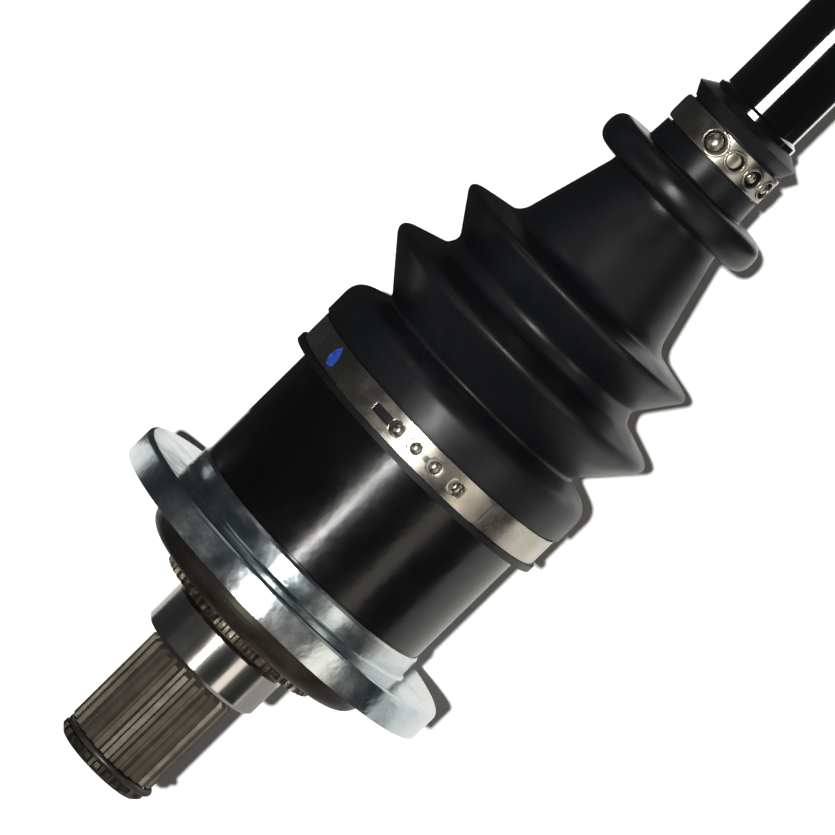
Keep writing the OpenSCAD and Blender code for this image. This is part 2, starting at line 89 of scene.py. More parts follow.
class Surface:
    """A Principled material that is built up node by node."""

    def __init__(self, name, colour, roughness, metallic=0.0, **extra):
        self.material = bpy.data.materials.new(name)
        self.material.use_nodes = True
        self.tree = self.material.node_tree
        self.shader = self.tree.nodes["Principled BSDF"]
        self.shader.inputs["Base Color"].default_value = (*colour, 1.0)
        self.shader.inputs["Roughness"].default_value = roughness
        self.shader.inputs["Metallic"].default_value = metallic
        for socket, value in extra.items():
            self.shader.inputs[socket.replace("_", " ")].default_value = value
        self.material.diffuse_color = (*colour, 1.0)
        self.bump_tail = None

    def node(self, kind, **settings):
        """A new node; settings whose names are inputs set those inputs."""
        made = self.tree.nodes.new("ShaderNode" + kind)
        for name, value in settings.items():
            if hasattr(made, name):
                setattr(made, name, value)
            else:
                made.inputs[name.replace("_", " ")].default_value = value
        return made

    def link(self, source, target):
        self.tree.links.new(source, target)

    def place(self, stretch=(1.0, 1.0, 1.0)):
        """The point on the surface in the axle's own frame, stretched per axis."""
        coordinates = self.node("TexCoord")
        mapping = self.node("Mapping", Scale=stretch)
        self.link(coordinates.outputs["Object"], mapping.inputs["Vector"])
        return mapping.outputs["Vector"]

    def noise(self, scale, detail=2.0, rough=0.5, stretch=(1.0, 1.0, 1.0)):
        """A noise pattern with this many bumps to a metre."""
        made = self.node("TexNoise", Scale=scale, Detail=detail, Roughness=rough)
        self.link(self.place(stretch), made.inputs["Vector"])
        return made.outputs["Fac"]

    def remap(self, value, low, high, from_low=0.3, from_high=0.7):
        """value spread from its usual range to low..high."""
        made = self.node("MapRange")
        made.inputs["From Min"].default_value = from_low
        made.inputs["From Max"].default_value = from_high
        made.inputs["To Min"].default_value = low
        made.inputs["To Max"].default_value = high
        self.link(value, made.inputs["Value"])
        return made.outputs["Result"]

    def vary_roughness(self, value, low, high, **limits):
        self.link(self.remap(value, low, high, **limits), self.shader.inputs["Roughness"])

    def vary_colour(self, value, stops):
        """Colours the surface by a ramp of (position, colour) stops."""
        ramp = self.node("ValToRGB")
        elements = ramp.color_ramp.elements
        elements[0].position, elements[-1].position = stops[0][0], stops[-1][0]
        elements[0].color, elements[-1].color = (*stops[0][1], 1.0), (*stops[-1][1], 1.0)
        for position, colour in stops[1:-1]:
            elements.new(position).color = (*colour, 1.0)
        self.link(value, ramp.inputs["Fac"])
        self.link(ramp.outputs["Color"], self.shader.inputs["Base Color"])

    def bump(self, value, depth, strength=1.0):
        """Relief of this depth in metres; several bumps add up."""
        made = self.node("Bump", Strength=strength, Distance=depth)
        self.link(value, made.inputs["Height"])
        if self.bump_tail is not None:
            self.link(self.bump_tail, made.inputs["Normal"])
        self.bump_tail = made.outputs["Normal"]
        self.link(self.bump_tail, self.shader.inputs["Normal"])


def turning_lines(surface, pitch, depth):
    """Fine lathe lines round the axle."""
    lines = surface.noise(1.0 / pitch, 3.0, 0.6, (1.0, 0.02, 0.02))
    surface.bump(lines, depth)
    return lines


def black_paint(name, smoothest, roughest, waves, **extra):
    """Thick black paint, a little uneven and scuffed. waves is the depth of its unevenness."""
    made = Surface(name, (0.0018, 0.0019, 0.0022), smoothest, **extra)
    made.vary_colour(made.noise(22.0, 5.0, 0.6), [
        (0.35, (0.0014, 0.0015, 0.0017)), (0.62, (0.0022, 0.0024, 0.0027)), (0.8, (0.006, 0.006, 0.0065)),
    ])
    made.vary_roughness(made.noise(45.0, 6.0, 0.65), smoothest, roughest)
    made.bump(made.noise(170.0, 2.0, 0.5), waves)
    made.bump(made.noise(750.0, 2.0, 0.5), waves * 0.15)
    return made


def cup_paint():
    """The satin paint of the forged cup and bell."""
    return black_paint("cup_paint", 0.15, 0.27, 0.00008, Specular_IOR_Level=0.45)


def bar_paint():
    """The wet-looking enamel of the bar."""
    return black_paint("bar_paint", 0.06, 0.11, 0.00003, Coat_Weight=1.0, Coat_Roughness=0.05)


def forged_steel():
    """Brown-grey oxide left on the forged and rough-turned shoulder."""
    made = Surface("forged_steel", (0.034, 0.029, 0.023), 0.42, 0.75)
    made.vary_colour(made.noise(60.0, 6.0, 0.6), [
        (0.3, (0.020, 0.017, 0.013)), (0.55, (0.040, 0.034, 0.026)), (0.75, (0.070, 0.059, 0.045)),
    ])
    made.vary_roughness(made.noise(130.0, 4.0), 0.30, 0.50)
    turning_lines(made, 0.0007, 0.00003)
    return made


def tooth_steel():
    """Rolled teeth: brown-grey steel with an oily sheen."""
    made = Surface("tooth_steel", (0.13, 0.115, 0.090), 0.48, 0.85)
    made.vary_colour(made.noise(90.0, 6.0, 0.65), [
        (0.3, (0.095, 0.083, 0.066)), (0.5, (0.135, 0.118, 0.094)), (0.72, (0.18, 0.160, 0.130)),
    ])
    made.vary_roughness(made.noise(200.0, 4.0), 0.42, 0.58)
    made.bump(made.noise(900.0, 3.0, 0.6, (0.12, 1.0, 1.0)), 0.00004)
    return made


def ring_steel():
    """The toothed ring: darkened steel with bright specks where it was knocked."""
    made = Surface("ring_steel", (0.10, 0.085, 0.064), 0.34, 0.9)
    made.vary_colour(made.noise(420.0, 4.0, 0.7), [
        (0.38, (0.030, 0.025, 0.019)), (0.55, (0.105, 0.088, 0.064)), (0.68, (0.36, 0.32, 0.25)),
    ])
    made.vary_roughness(made.noise(300.0, 4.0), 0.24, 0.46)
    made.bump(made.noise(900.0, 3.0, 0.6), 0.00006)
    return made


def ground_steel():
    """The ground and polished journal."""
    made = Surface("ground_steel", (0.56, 0.54, 0.51), 0.14, 1.0)
    made.vary_roughness(made.noise(60.0, 4.0), 0.13, 0.21)
    turning_lines(made, 0.0004, 0.000004)
    return made


def zinc_plate():
    """Bright zinc plate with a faint blue and yellow bloom."""
    made = Surface("zinc_plate", (0.62, 0.68, 0.70), 0.22, 1.0)
    made.vary_colour(made.noise(38.0, 5.0, 0.6), [
        (0.28, (0.36, 0.45, 0.48)), (0.46, (0.60, 0.67, 0.69)),
        (0.58, (0.70, 0.74, 0.73)), (0.74, (0.76, 0.75, 0.66)),
    ])
    made.vary_roughness(made.noise(75.0, 5.0, 0.6), 0.14, 0.32)
    made.bump(made.noise(105.0, 3.0, 0.5), 0.00026)
    made.bump(made.noise(260.0, 2.0, 0.5), 0.00004)
    turning_lines(made, 0.0009, 0.000012)
    return made


def stainless_band():
    """Rolled stainless strip, warm, with lines along the band."""
    made = Surface("stainless_band", (0.54, 0.50, 0.43), 0.26, 1.0)
    made.vary_colour(made.noise(50.0, 4.0), [
        (0.3, (0.42, 0.39, 0.33)), (0.7, (0.62, 0.58, 0.50)),
    ])
    made.vary_roughness(made.noise(110.0, 5.0, 0.6), 0.18, 0.36)
    turning_lines(made, 0.0005, 0.000010)
    return made


def boot_rubber():
    """Moulded black rubber, satin, with a fine grain and a trace of dust."""
    made = Surface("boot_rubber", (0.0042, 0.0047, 0.0056), 0.44, Specular_IOR_Level=0.42)
    made.vary_colour(made.noise(30.0, 6.0, 0.7), [
        (0.3, (0.0030, 0.0034, 0.0042)), (0.55, (0.0044, 0.0049, 0.0060)), (0.8, (0.010, 0.011, 0.0125)),
    ])
    made.vary_roughness(made.noise(38.0, 6.0, 0.6), 0.25, 0.52)
    made.bump(made.noise(2400.0, 2.0, 0.5), 0.000010)
    made.bump(made.noise(160.0, 3.0, 0.5), 0.00005)
    return made


def bearing_steel():
    """Hardened and ground bearing steel under a film of grease."""
    made = Surface("bearing_steel", (0.50, 0.49, 0.47), 0.18, 1.0)
    made.vary_roughness(made.noise(120.0, 4.0), 0.12, 0.30)
    made.vary_colour(made.noise(80.0, 4.0), [(0.35, (0.34, 0.33, 0.30)), (0.65, (0.54, 0.53, 0.51))])
    return made


def spring_steel():
    """Dark drawn wire and circlip stock."""
    made = Surface("spring_steel", (0.08, 0.075, 0.07), 0.4, 0.9)
    made.vary_roughness(made.noise(300.0, 4.0), 0.3, 0.5)
    made.vary_colour(made.noise(150.0, 4.0), [(0.35, (0.05, 0.046, 0.042)), (0.65, (0.11, 0.104, 0.095))])
    return made


def blue_paint():
    """A dab of an inspector's blue paint."""
    made = Surface("blue_paint", (0.012, 0.045, 0.30), 0.5)
    made.vary_colour(made.noise(700.0, 4.0), [(0.35, (0.008, 0.030, 0.20)), (0.65, (0.016, 0.060, 0.38))])
    made.bump(made.noise(900.0, 3.0), 0.00003)
    return made


def white_floor():
    """A matt white sweep."""
    made = Surface("white_floor", (0.86, 0.86, 0.86), 0.9, Specular_IOR_Level=0.1)
    made.vary_roughness(made.noise(4.0), 0.85, 0.95)
    return made


def painted_reflection_card(name, shade):
    """Painted reflection: a grey sheet that polished surfaces see instead of the floor, whose shade sets how
    bright they mirror it.
    """
    made = Surface(name, (shade, shade, shade), 0.9, Specular_IOR_Level=0.1)
    made.vary_roughness(made.noise(4.0), 0.85, 0.95)
    return made


PAINT = cup_paint().material
ENAMEL = bar_paint().material
FORGED = forged_steel().material
TEETH = tooth_steel().material
RING = ring_steel().material
GROUND = ground_steel().material
ZINC = zinc_plate().material
BAND = stainless_band().material
RUBBER = boot_rubber().material
BEARING = bearing_steel().material
SPRING = spring_steel().material
BLUE = blue_paint().material


# ---- CAD nodes: materials only ----

def paint_node(node, zones):
    """Gives a CAD node its materials. zones is a list of (end, material) along the axle, in order."""
    mesh = NODES[node].data
    mesh.materials.clear()
    for _, material in zones:
        mesh.materials.append(material)
    for face in mesh.polygons:
        face.material_index = next(i for i, (end, _) in enumerate(zones) if face.center.x < end)


EVERYWHERE = 10.0
HAIR = 0.1 * MM
STUB_NOSE_END = STUB_TIP + 6.1 * MM
JOURNAL_HALF = 7.5 * MM
BARE_SHAFT_END = 20 * MM
BELL_MOUTH = OUTBOARD_CENTRE - 12.7 * MM
HUB_SHOULDER = OUTBOARD_CENTRE + 50 * MM
HUB_SEAT_END = HUB_SHOULDER + 12.5 * MM

paint_node("inboard_housing", [
    (STUB_NOSE_END, FORGED), (-JOURNAL_HALF - HAIR, TEETH), (JOURNAL_HALF - HAIR, GROUND),
    (COVER_START - HAIR, FORGED), (EVERYWHERE, PAINT),
])
paint_node("axle_shaft", [
    (INBOARD_CENTRE + BARE_SHAFT_END, GROUND), (OUTBOARD_CENTRE - BARE_SHAFT_END, ENAMEL),
    (EVERYWHERE, GROUND),
])
paint_node("outboard_bell", [
    (BELL_MOUTH, GROUND), (HUB_SHOULDER - HAIR, PAINT), (HUB_SEAT_END, GROUND), (EVERYWHERE, TEETH),
])
BALLS = [name for name in NODES if "_ball_" in name]
RACES_AND_CAGES = ["inboard_cage", "outboard_cage", "inboard_race", "outboard_race"]
CLIPS = [
    "stub_retaining_ring", "ball_stop_ring", "inboard_race_clip", "inboard_race_stop",
    "outboard_race_clip",
]
for names, material in (
    (CLIPS, SPRING), (BALLS, BEARING), (RACES_AND_CAGES, BEARING), (["toothed_ring"], RING),
    (["dust_cover", "bell_dust_shield"], ZINC),
):
    for name in names:
        paint_node(name, [(EVERYWHERE, material)])


# ---- Shared mesh work ----

def around(x, radius, degrees):
    """The point at x and radius, turned from the top towards +Y."""
    angle = math.radians(degrees)
    return Vector((x, radius * math.sin(angle), radius * math.cos(angle)))


def new_piece(name, mesh, material, crease=35.0):
    """Links a mesh to the scene as a smooth piece with creases where faces meet at more than this angle."""
    mesh.materials.clear()
    mesh.materials.append(material)
    for face in mesh.polygons:
        face.use_smooth = True
        face.material_index = 0
    mesh.set_sharp_from_angle(angle=math.radians(crease))
    thing = bpy.data.objects.new(name, mesh)
    bpy.context.scene.collection.objects.link(thing)
    return thing


def face_outwards(mesh):
    """Turns every face's normal to the outside."""
    work = bmesh.new()
    work.from_mesh(mesh)
    bmesh.ops.recalc_face_normals(work, faces=work.faces)
    work.to_mesh(mesh)
    work.free()


def lathe(name, outline, segments=192):
    """The mesh of a closed outline of (x, radius) points, turned round the axle."""
    mesh = bpy.data.meshes.new(name)
    count = len(outline)
    spots = [around(x, r, 360 * s / segments) for s in range(segments) for x, r in outline]
    faces = []
    for s in range(segments):
        here, there = s * count, (s + 1) % segments * count
        for i in range(count):
            j = (i + 1) % count
            faces.append((here + i, here + j, there + j, there + i))
    mesh.from_pydata(spots, [], faces)
    face_outwards(mesh)
    return mesh


# ---- Boots ----

def rounded(controls, steps=10):
    """The line through (x, radius, reach) points, with a smooth corner at each one that has a reach."""
    line = []
    for i, (x, radius, reach) in enumerate(controls):
        here = Vector((x, radius))
        if not reach:
            line.append(here)
            continue
        start = here + (Vector(controls[i - 1][:2]) - here).normalized() * reach
        end = here + (Vector(controls[i + 1][:2]) - here).normalized() * reach
        for k in range(steps + 1):
            t = k / steps
            line.append((1 - t) ** 2 * start + 2 * t * (1 - t) * here + t ** 2 * end)
    return line


def inset(controls, wall, tightness=0.4):
    """The same points moved inwards by the thickness of a wall."""
    points = [Vector(control[:2]) for control in controls]
    steps = [(b - a).normalized() for a, b in zip(points, points[1:])]
    moved = []
    for i, here in enumerate(points):
        before, after = steps[max(i - 1, 0)], steps[min(i, len(steps) - 1)]
        n1, n2 = Vector((-before.y, before.x)), Vector((-after.y, after.x))
        place = here - wall * (n1 + n2) / (1 + n1.dot(n2))
        moved.append((place.x, place.y, controls[i][2] * tightness))
    return moved


def cut(line, places):
    """The line in stretches, cut where it first crosses each of these x, in order."""
    stretches, current, waiting = [], [line[0]], list(places)
    for before, after in zip(line, line[1:]):
        while waiting and before.x <= waiting[0] < after.x:
            crossing = before.lerp(after, (waiting.pop(0) - before.x) / (after.x - before.x))
            stretches.append(current + [crossing])
            current = [crossing]
        current.append(after)
    return stretches + [current]


def boot(node, outside, inside, cuts, stations):
    """One boot, in one piece for each stretch between cuts. stations lists for each stretch one body,
    which the stretch is attached to, or two bodies, in which case the stretch is left unattached."""
    places = [c * MM for c in cuts]
    outer = cut([p * MM for p in outside], places)
    inner = cut([p * MM for p in inside], places)
    for number, bodies in enumerate(stations):
        outline = outer[number] + inner[number][::-1]
        name = f"{node}_fold_{number + 1}" if len(bodies) == 2 else f"{node}_end_{number + 1}"
        piece = new_piece(name, lathe(name, outline), RUBBER)
        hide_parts(node)
        if len(bodies) == 2:
            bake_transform(piece)
        else:
            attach(piece, bodies[0])


def plain(points):
    """Points without rounding, as vectors."""
    return [Vector(point) for point in points]


# Boot sizes in millimetres. The seats and lengths are the CAD model's; the folds are a little fuller.
INBOARD_WALL = 2.8
OUTBOARD_WALL = 2.5
SEAT_R = 15.5
INBOARD_BELLOWS = [
    (96.8, 49.1, 0), (108.3, 49.1, 4.5), (112.4, 37.8, 2), (130.6, 53.4, 4.4), (135.6, 38.4, 1.8),
    (139.6, 36.4, 2), (153.9, 46.6, 3.4), (157.2, 31.2, 2), (159.9, 28.9, 1.6), (188.9, 21.2, 1.6),
    (190.4, 21.2, 0.4), (190.5, 30.3, 5.4), (201.6, 30.3, 5.4), (201.7, 18.9, 0.8), (209.2, 18.5, 0),
]
FOLDS = 5
FOLD_PITCH = 15.0
FIRST_FOLD = OUTBOARD_CENTRE / MM - 89
OUTBOARD_NECK = OUTBOARD_CENTRE / MM - 100.2


def inboard_boot():
    """The boot of the gearbox joint: two sharp folds, a long cone and a round bead at its neck."""
    outside = plain([(84, 49.3), (86, 49.3), (86, 47.3), (96.8, 47.3)])
    outside += rounded(INBOARD_BELLOWS)
    outside += plain([(209.2, 17), (219.8, 17), (219.8, 17.6), (224.2, 19.9), (227, SEAT_R)])
    inside = plain([(84, 44.5), (96.8, 44.5)])
    inside += rounded(inset(INBOARD_BELLOWS, INBOARD_WALL))
    inside += plain([(207.2, SEAT_R), (226.9, SEAT_R)])
    boot("inboard_boot", outside, inside, [98, 123, 163], [
        ("inboard_joint",), ("inboard_joint", "inboard_boot"), ("inboard_boot", "axle_shaft"),
        ("axle_shaft",),
    ])


def outboard_boot():
    """The boot of the hub joint: a bellows that grows from the shaft to the bell."""
    controls = [(OUTBOARD_NECK, 18.5, 0), (OUTBOARD_NECK + 5.7, 18.8, 1.5)]
    for i in range(FOLDS):
        grown = i / (FOLDS - 1)
        tip = FIRST_FOLD + i * FOLD_PITCH
        controls.append((tip, 27.5 + 25.5 * grown, 2.4))
        controls.append((tip + FOLD_PITCH / 2, 23.5 + 23.5 * grown, 2.4))
    centre = OUTBOARD_CENTRE / MM
    controls += [(centre - 17.5, 51.3, 2.2), (centre - 13, 51.3, 0)]
    neck = OUTBOARD_NECK - 10.4
    outside = plain([
        (neck - 7.2, SEAT_R), (neck - 4.4, 19.9), (neck, 17.6), (neck, 17), (OUTBOARD_NECK, 17),
    ])
    outside += rounded(controls)
    outside += plain([(centre - 13, 49.8), (centre - 2, 49.8), (centre - 2, 51.8), (centre, 51.8)])
    inside = plain([(neck - 7.1, SEAT_R), (OUTBOARD_NECK + 2, SEAT_R)])
    inside += rounded(inset(controls, OUTBOARD_WALL))
    inside += plain([(centre - 13, 47.3), (centre, 47.3)])
    boot("outboard_boot", outside, inside, [centre - 91.7, centre - 70, centre - 14], [
        ("axle_shaft",), ("axle_shaft", "outboard_boot"), ("outboard_boot", "outboard_joint"),
        ("outboard_joint",),
    ])


# ---- Clamps ----

def circle(u, v, radius, points=28):
    """A round hole's outline, turning the opposite way to the sheet's own edge."""
    turns = [-2 * math.pi * i / points for i in range(points)]
    return [(u + radius * math.cos(turn), v + radius * math.sin(turn)) for turn in turns]


def rounded_box(u0, v0, u1, v1, radius, hole=False, points=6):
    """A rectangle's outline with round corners."""
    outline = []
    left, right, low, high = u0 + radius, u1 - radius, v0 + radius, v1 - radius
    for corner, (u, v) in enumerate(((right, high), (left, high), (left, low), (right, low))):
        for i in range(points + 1):
            turn = math.radians(90 * (corner + i / points))
            outline.append((u + radius * math.cos(turn), v + radius * math.sin(turn)))
    return outline[::-1] if hole else outline


def sheet(loops, thickness, edge=0.12 * MM):
    """The mesh of a flat stamped sheet. loops are its outline and its holes, as (u, v) points."""
    curve = bpy.data.curves.new("sheet", "CURVE")
    curve.dimensions = "2D"
    curve.fill_mode = "BOTH"
    curve.extrude = thickness / 2 - edge
    curve.bevel_depth = edge
    curve.bevel_resolution = 1
    for loop in loops:
        spline = curve.splines.new("POLY")
        spline.points.add(len(loop) - 1)
        for point, (u, v) in zip(spline.points, loop):
            point.co = (u, v, 0, 1)
        spline.use_cyclic_u = True
    thing = bpy.data.objects.new("sheet", curve)
    bpy.context.scene.collection.objects.link(thing)
    graph = bpy.context.evaluated_depsgraph_get()
    mesh = bpy.data.meshes.new_from_object(thing.evaluated_get(graph))
    bpy.data.objects.remove(thing)
    bpy.data.curves.remove(curve)
    return mesh


def dome(u, v, radius, height, skirt, rings=8, points=28):
    """A round boss pressed out of a sheet, closed below by its skirt."""
    spots = [(u, v, height)]
    slopes = [math.pi / 2 * k / rings for k in range(1, rings + 1)]
    levels = [(radius * math.sin(slope), height * math.cos(slope)) for slope in slopes]
    levels.append((radius, -skirt))
    for reach, level in levels:
        for i in range(points):
            turn = 2 * math.pi * i / points
            spots.append((u + reach * math.cos(turn), v + reach * math.sin(turn), level))
    faces = [(0, 1 + i, 1 + (i + 1) % points) for i in range(points)]
    for ring in range(len(levels) - 1):
        first = 1 + ring * points
        for i in range(points):
            j = (i + 1) % points
            faces.append((first + i, first + points + i, first + points + j, first + j))
    last = 1 + (len(levels) - 1) * points
    faces.append(tuple(last + i for i in range(points))[::-1])
    mesh = bpy.data.meshes.new("dome")
    mesh.from_pydata(spots, [], faces)
    return mesh


def rim(u, v, radius, thickness, points=36, sides=10):
    """A raised bead round a hole."""
    spots, faces = [], []
    for i in range(points):
        turn = 2 * math.pi * i / points
        for k in range(sides):
            roll = 2 * math.pi * k / sides
            reach = radius + thickness * math.cos(roll)
            spots.append((u + reach * math.cos(turn), v + reach * math.sin(turn), thickness * math.sin(roll)))
            here, there = i * sides, (i + 1) % points * sides
            j = (k + 1) % sides
            faces.append((here + k, there + k, there + j, here + j))
    mesh = bpy.data.meshes.new("rim")
    mesh.from_pydata(spots, [], faces)
    return mesh


def wrapped(name, flats, middle_x, nominal_r, radius_at, slice_degrees=2.5):
    """Joins flat meshes and bends them round the axle: u runs round it at the nominal radius, from the top
    towards +Y, and radius_at(angle) is the radius of the sheet's middle."""
    work = bmesh.new()
    for mesh, lift in flats:
        part = bmesh.new()
        part.from_mesh(mesh)
        bmesh.ops.remove_doubles(part, verts=part.verts, dist=0.001 * MM)
        low = min(vertex.co.x for vertex in part.verts)
        high = max(vertex.co.x for vertex in part.verts)
        slice_u = math.radians(slice_degrees) * nominal_r
        for k in range(math.ceil(low / slice_u), math.floor(high / slice_u) + 1):
            everything = part.verts[:] + part.edges[:] + part.faces[:]
            bmesh.ops.bisect_plane(part, geom=everything, plane_co=(k * slice_u, 0, 0), plane_no=(1, 0, 0))
        for vertex in part.verts:
            degrees = math.degrees(vertex.co.x / nominal_r)
            radius = radius_at(degrees) + vertex.co.z + lift
            vertex.co = around(middle_x + vertex.co.y, radius, degrees)
        bmesh.ops.recalc_face_normals(part, faces=part.faces)
        bent = bpy.data.meshes.new(name)
        part.to_mesh(bent)
        part.free()
        work.from_mesh(bent)
        bpy.data.meshes.remove(bent)
        bpy.data.meshes.remove(mesh)
    mesh = bpy.data.meshes.new(name)
    work.to_mesh(mesh)
    work.free()
    return mesh


def ramp(value, start, end, low, high):
    """low before start, high after end and a smooth step between."""
    t = min(max((value - start) / (end - start), 0), 1)
    return low + (high - low) * t * t * (3 - 2 * t)


def clamp(node, body, strip_from, strip_to, width, thickness, radius_at, holes, slots, pegs, rims=()):
    """A band clamp from one strip that overlaps itself. holes and rims are (angle, radius), slots are (from,
    to, half width) and pegs are (angle, radius, height), all at angles from the top towards +Y."""
    low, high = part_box(node)
    middle_x = (low.x + high.x) / 2
    nominal_r = radius_at(0)

    def at(degrees):
        return math.radians(degrees) * nominal_r

    loops = [rounded_box(at(strip_from), -width / 2, at(strip_to), width / 2, width * 0.3)]
    loops += [circle(at(angle), 0, radius) for angle, radius in holes]
    loops += [rounded_box(at(a), -half, at(b), half, half * 0.5, hole=True) for a, b, half in slots]
    flats = [(sheet(loops, thickness), 0)]
    for angle, radius, height in pegs:
        flats.append((dome(at(angle), 0, radius, height, thickness * 0.3), thickness * 0.2))
    for angle, radius in rims:
        flats.append((rim(at(angle), 0, radius, RIM_BEAD), thickness * 0.4))
    piece = new_piece(f"{node}_band", wrapped(node, flats, middle_x, nominal_r, radius_at), BAND, 40.0)
    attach(piece, body)
    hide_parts(node)


STRIP = 0.8 * MM
LAYER_GAP = 0.05 * MM
BAND_DEPTH = 1.0 * MM
LARGE_WIDTH = 9.4 * MM
SMALL_WIDTH = 8.8 * MM
RIM_BEAD = 0.5 * MM


def strip_layers(node):
    """The radii of the middle of a band's lower and upper layer."""
    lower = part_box(node)[1].y - BAND_DEPTH + STRIP / 2
    return lower, lower + STRIP + LAYER_GAP


def large_clamp(node, body, way=1):
    """The wide band. Its overlap faces up, with round holes for the pegs of the layer below."""
    lower, upper = strip_layers(node)

    def radius_at(degrees):
        return ramp(degrees * way, 40, 47, upper, lower)

    ends = (-34, 372) if way > 0 else (-372, 34)
    spots = [10.7, 1.7, -7.7, -18.5]
    clamp(
        node, body, *ends, LARGE_WIDTH, STRIP, radius_at,
        [(way * spot, 2.5 * MM) for spot in spots],
        [(min(way * 13.5, way * 22), max(way * 13.5, way * 22), 1.6 * MM)],
        [(way * (360 + spot - 0.7), 2.0 * MM, 1.25 * MM) for spot in spots],
    )


def small_clamp(node, body, way=1):
    """The narrow neck's band, with large bosses and one end bent up."""
    lower, upper = strip_layers(node)

    def radius_at(degrees):
        turned = degrees * way
        lifted = ramp(turned, 72, 84, 0, 0.5 * MM)
        return ramp(turned, -96, -82, lower, upper) + lifted

    ends = (-335, 84) if way > 0 else (-84, 335)
    bosses = [(10, 3.7, 3.1, 2.1), (-15.5, 2.9, 2.5, 0.25), (-41, 2.9, 2.0, 1.6), (-66, 2.9, 2.0, 1.6)]
    clamp(
        node, body, *ends, SMALL_WIDTH, STRIP, radius_at,
        [(way * angle, hole * MM) for angle, hole, _, _ in bosses], [],
        [(way * (angle - 359), radius * MM, height * MM) for angle, _, radius, height in bosses],
        [(way * angle, (hole + 0.3) * MM) for angle, hole, _, _ in bosses],
    )


def paint_mark():
    """A dab of blue paint on the large clamp and the boot's edge."""
    low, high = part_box("inboard_large_clamp")
    middle_x = (low.x + high.x) / 2
    nominal_r = high.y

    outline = [
        (47.0, -2.6), (50.5, -3.4), (52.6, -1.2), (52.2, 1.6), (50.2, 3.6), (48.4, 2.2), (47.6, 0.4),
    ]
    loop = [(math.radians(angle) * nominal_r, v * MM) for angle, v in outline]
    flats = [(sheet([loop], 0.1 * MM, 0.03 * MM), 0)]
    mesh = wrapped("paint_mark", flats, middle_x, nominal_r, lambda degrees: nominal_r - 0.12 * MM)
    piece = new_piece("paint_mark", mesh, BLUE)
    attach(piece, "inboard_joint")


inboard_boot()
outboard_boot()
large_clamp("inboard_large_clamp", "inboard_joint")
large_clamp("outboard_large_clamp", "outboard_joint", -1)
small_clamp("inboard_small_clamp", "axle_shaft")
small_clamp("outboard_small_clamp", "axle_shaft", -1)
paint_mark()


# ---- Floor, lights and camera ----

LEAN = math.radians(6.0)
SLANT = math.radians(44.5)
LOOK_AT = Vector((92.5, 7.0, 0.0)) * MM
CAMERA_DISTANCE = 1.7
FOCAL_LENGTH = 244.3
TO_CAMERA = Vector((math.sin(LEAN), 0, math.cos(LEAN)))
CARD_LIFT = 0.5 * MM
SUN_STRENGTH = 4.5
SUN_SPREAD = math.radians(1.5)
SUN_TURN = 4.2
SUN_LEAN = math.radians(3.0)
WHITE = (1.0, 0.985, 0.96)
WARM = (1.0, 0.93, 0.84)


def lowest_point(node):
    """The lowest point of a CAD node and, where several are as low, the one nearest the hub."""
    points = [vertex.co for vertex in NODES[node].data.vertices]
    lowest = min(point.z for point in points)
    return max((point for point in points if point.z < lowest + HAIR), key=lambda point: point.x)


# The axle lies on its dust cover and on the smaller dust shield, so that the floor is a little aslant to it
INBOARD_REST = lowest_point("dust_cover")
OUTBOARD_REST = lowest_point("bell_dust_shield")
FLOOR_RISE = (OUTBOARD_REST.z - INBOARD_REST.z) / (OUTBOARD_REST.x - INBOARD_REST.x)


def floor_sheet(name, low, high, lift, material):
    """A flat sheet on the floor between two (x, y) corners, which isn't part of the object."""
    mesh = bpy.data.meshes.new(name)
    corners = [(low[0], low[1]), (high[0], low[1]), (high[0], high[1]), (low[0], high[1])]
    heights = [INBOARD_REST.z + FLOOR_RISE * (x - INBOARD_REST.x) + lift for x, _ in corners]
    mesh.from_pydata([(*corner, height) for corner, height in zip(corners, heights)], [], [(0, 1, 2, 3)])
    mesh.materials.append(material)
    thing = bpy.data.objects.new(name, mesh)
    bpy.context.scene.collection.objects.link(thing)
    return thing


def floor_and_cards():
    """A wide white floor. Polished metal mirrors grey cards in its place, with dark gaps between them:
    painted reflections, whose shades are set zone by zone to make the mirrored floor lighter or darker.
    """
    floor = floor_sheet("ground", (-4, -4), (4, 4), 0, white_floor().material)
    floor.visible_glossy = False
    # Painted reflections: each card's shade sets how bright polished metal mirrors the floor in its zone. The
    # cards are hidden from the camera, from diffuse light and from shadows.
    cards = [
        ("reflection_card_far", 0.62, (-2, -0.9), (SMALL_CLAMP_START, -0.5)),
        ("reflection_card_by_boot", 0.62, (-0.005, -0.5), (SMALL_CLAMP_START, 0.03)),
        ("reflection_card_by_bar", 0.90, (SMALL_CLAMP_START, -0.055), (2, 0.03)),
        ("reflection_card_by_stub", 0.27, (-2, -0.5), (-0.005, 0.03)),
        ("reflection_card_by_journal", 0.50, (-0.03, 0.03), (-0.002, 0.08)),
        ("reflection_card_by_cover", 0.70, (-0.002, 0.03), (0.018, 0.20)),
        ("reflection_card_by_face", 0.70, (0.018, 0.043), (0.05, 0.064)),
    ]
    for name, shade, low, high in cards:
        card = floor_sheet(name, low, high, CARD_LIFT, painted_reflection_card(name, shade).material)
        card.visible_camera = False
        card.visible_diffuse = False
        card.visible_shadow = False


def place_light(name, lamp, position, aim):
    """Puts a lamp at position, facing aim, with its own X side along the axle."""
    thing = bpy.data.objects.new(name, lamp)
    bpy.context.scene.collection.objects.link(thing)
    direction = (position - aim).normalized()
    axle = Vector((1, 0, 0))
    along = (axle - direction * axle.dot(direction)).normalized()
    thing.matrix_world = Matrix.Translation(position) @ Matrix(
        (along, direction.cross(along), direction)
    ).transposed().to_4x4()
    return thing


def box_light(name, position, aim, width, length, brightness, colour):
    """A rectangular light of an even brightness, which is the value that a mirror would show."""
    lamp = bpy.data.lights.new(name, "AREA")
    lamp.energy = brightness * math.pi * width * length
    lamp.color = colour
    lamp.shape = "RECTANGLE"
    lamp.size = length
    lamp.size_y = width
    return place_light(name, lamp, position, aim)


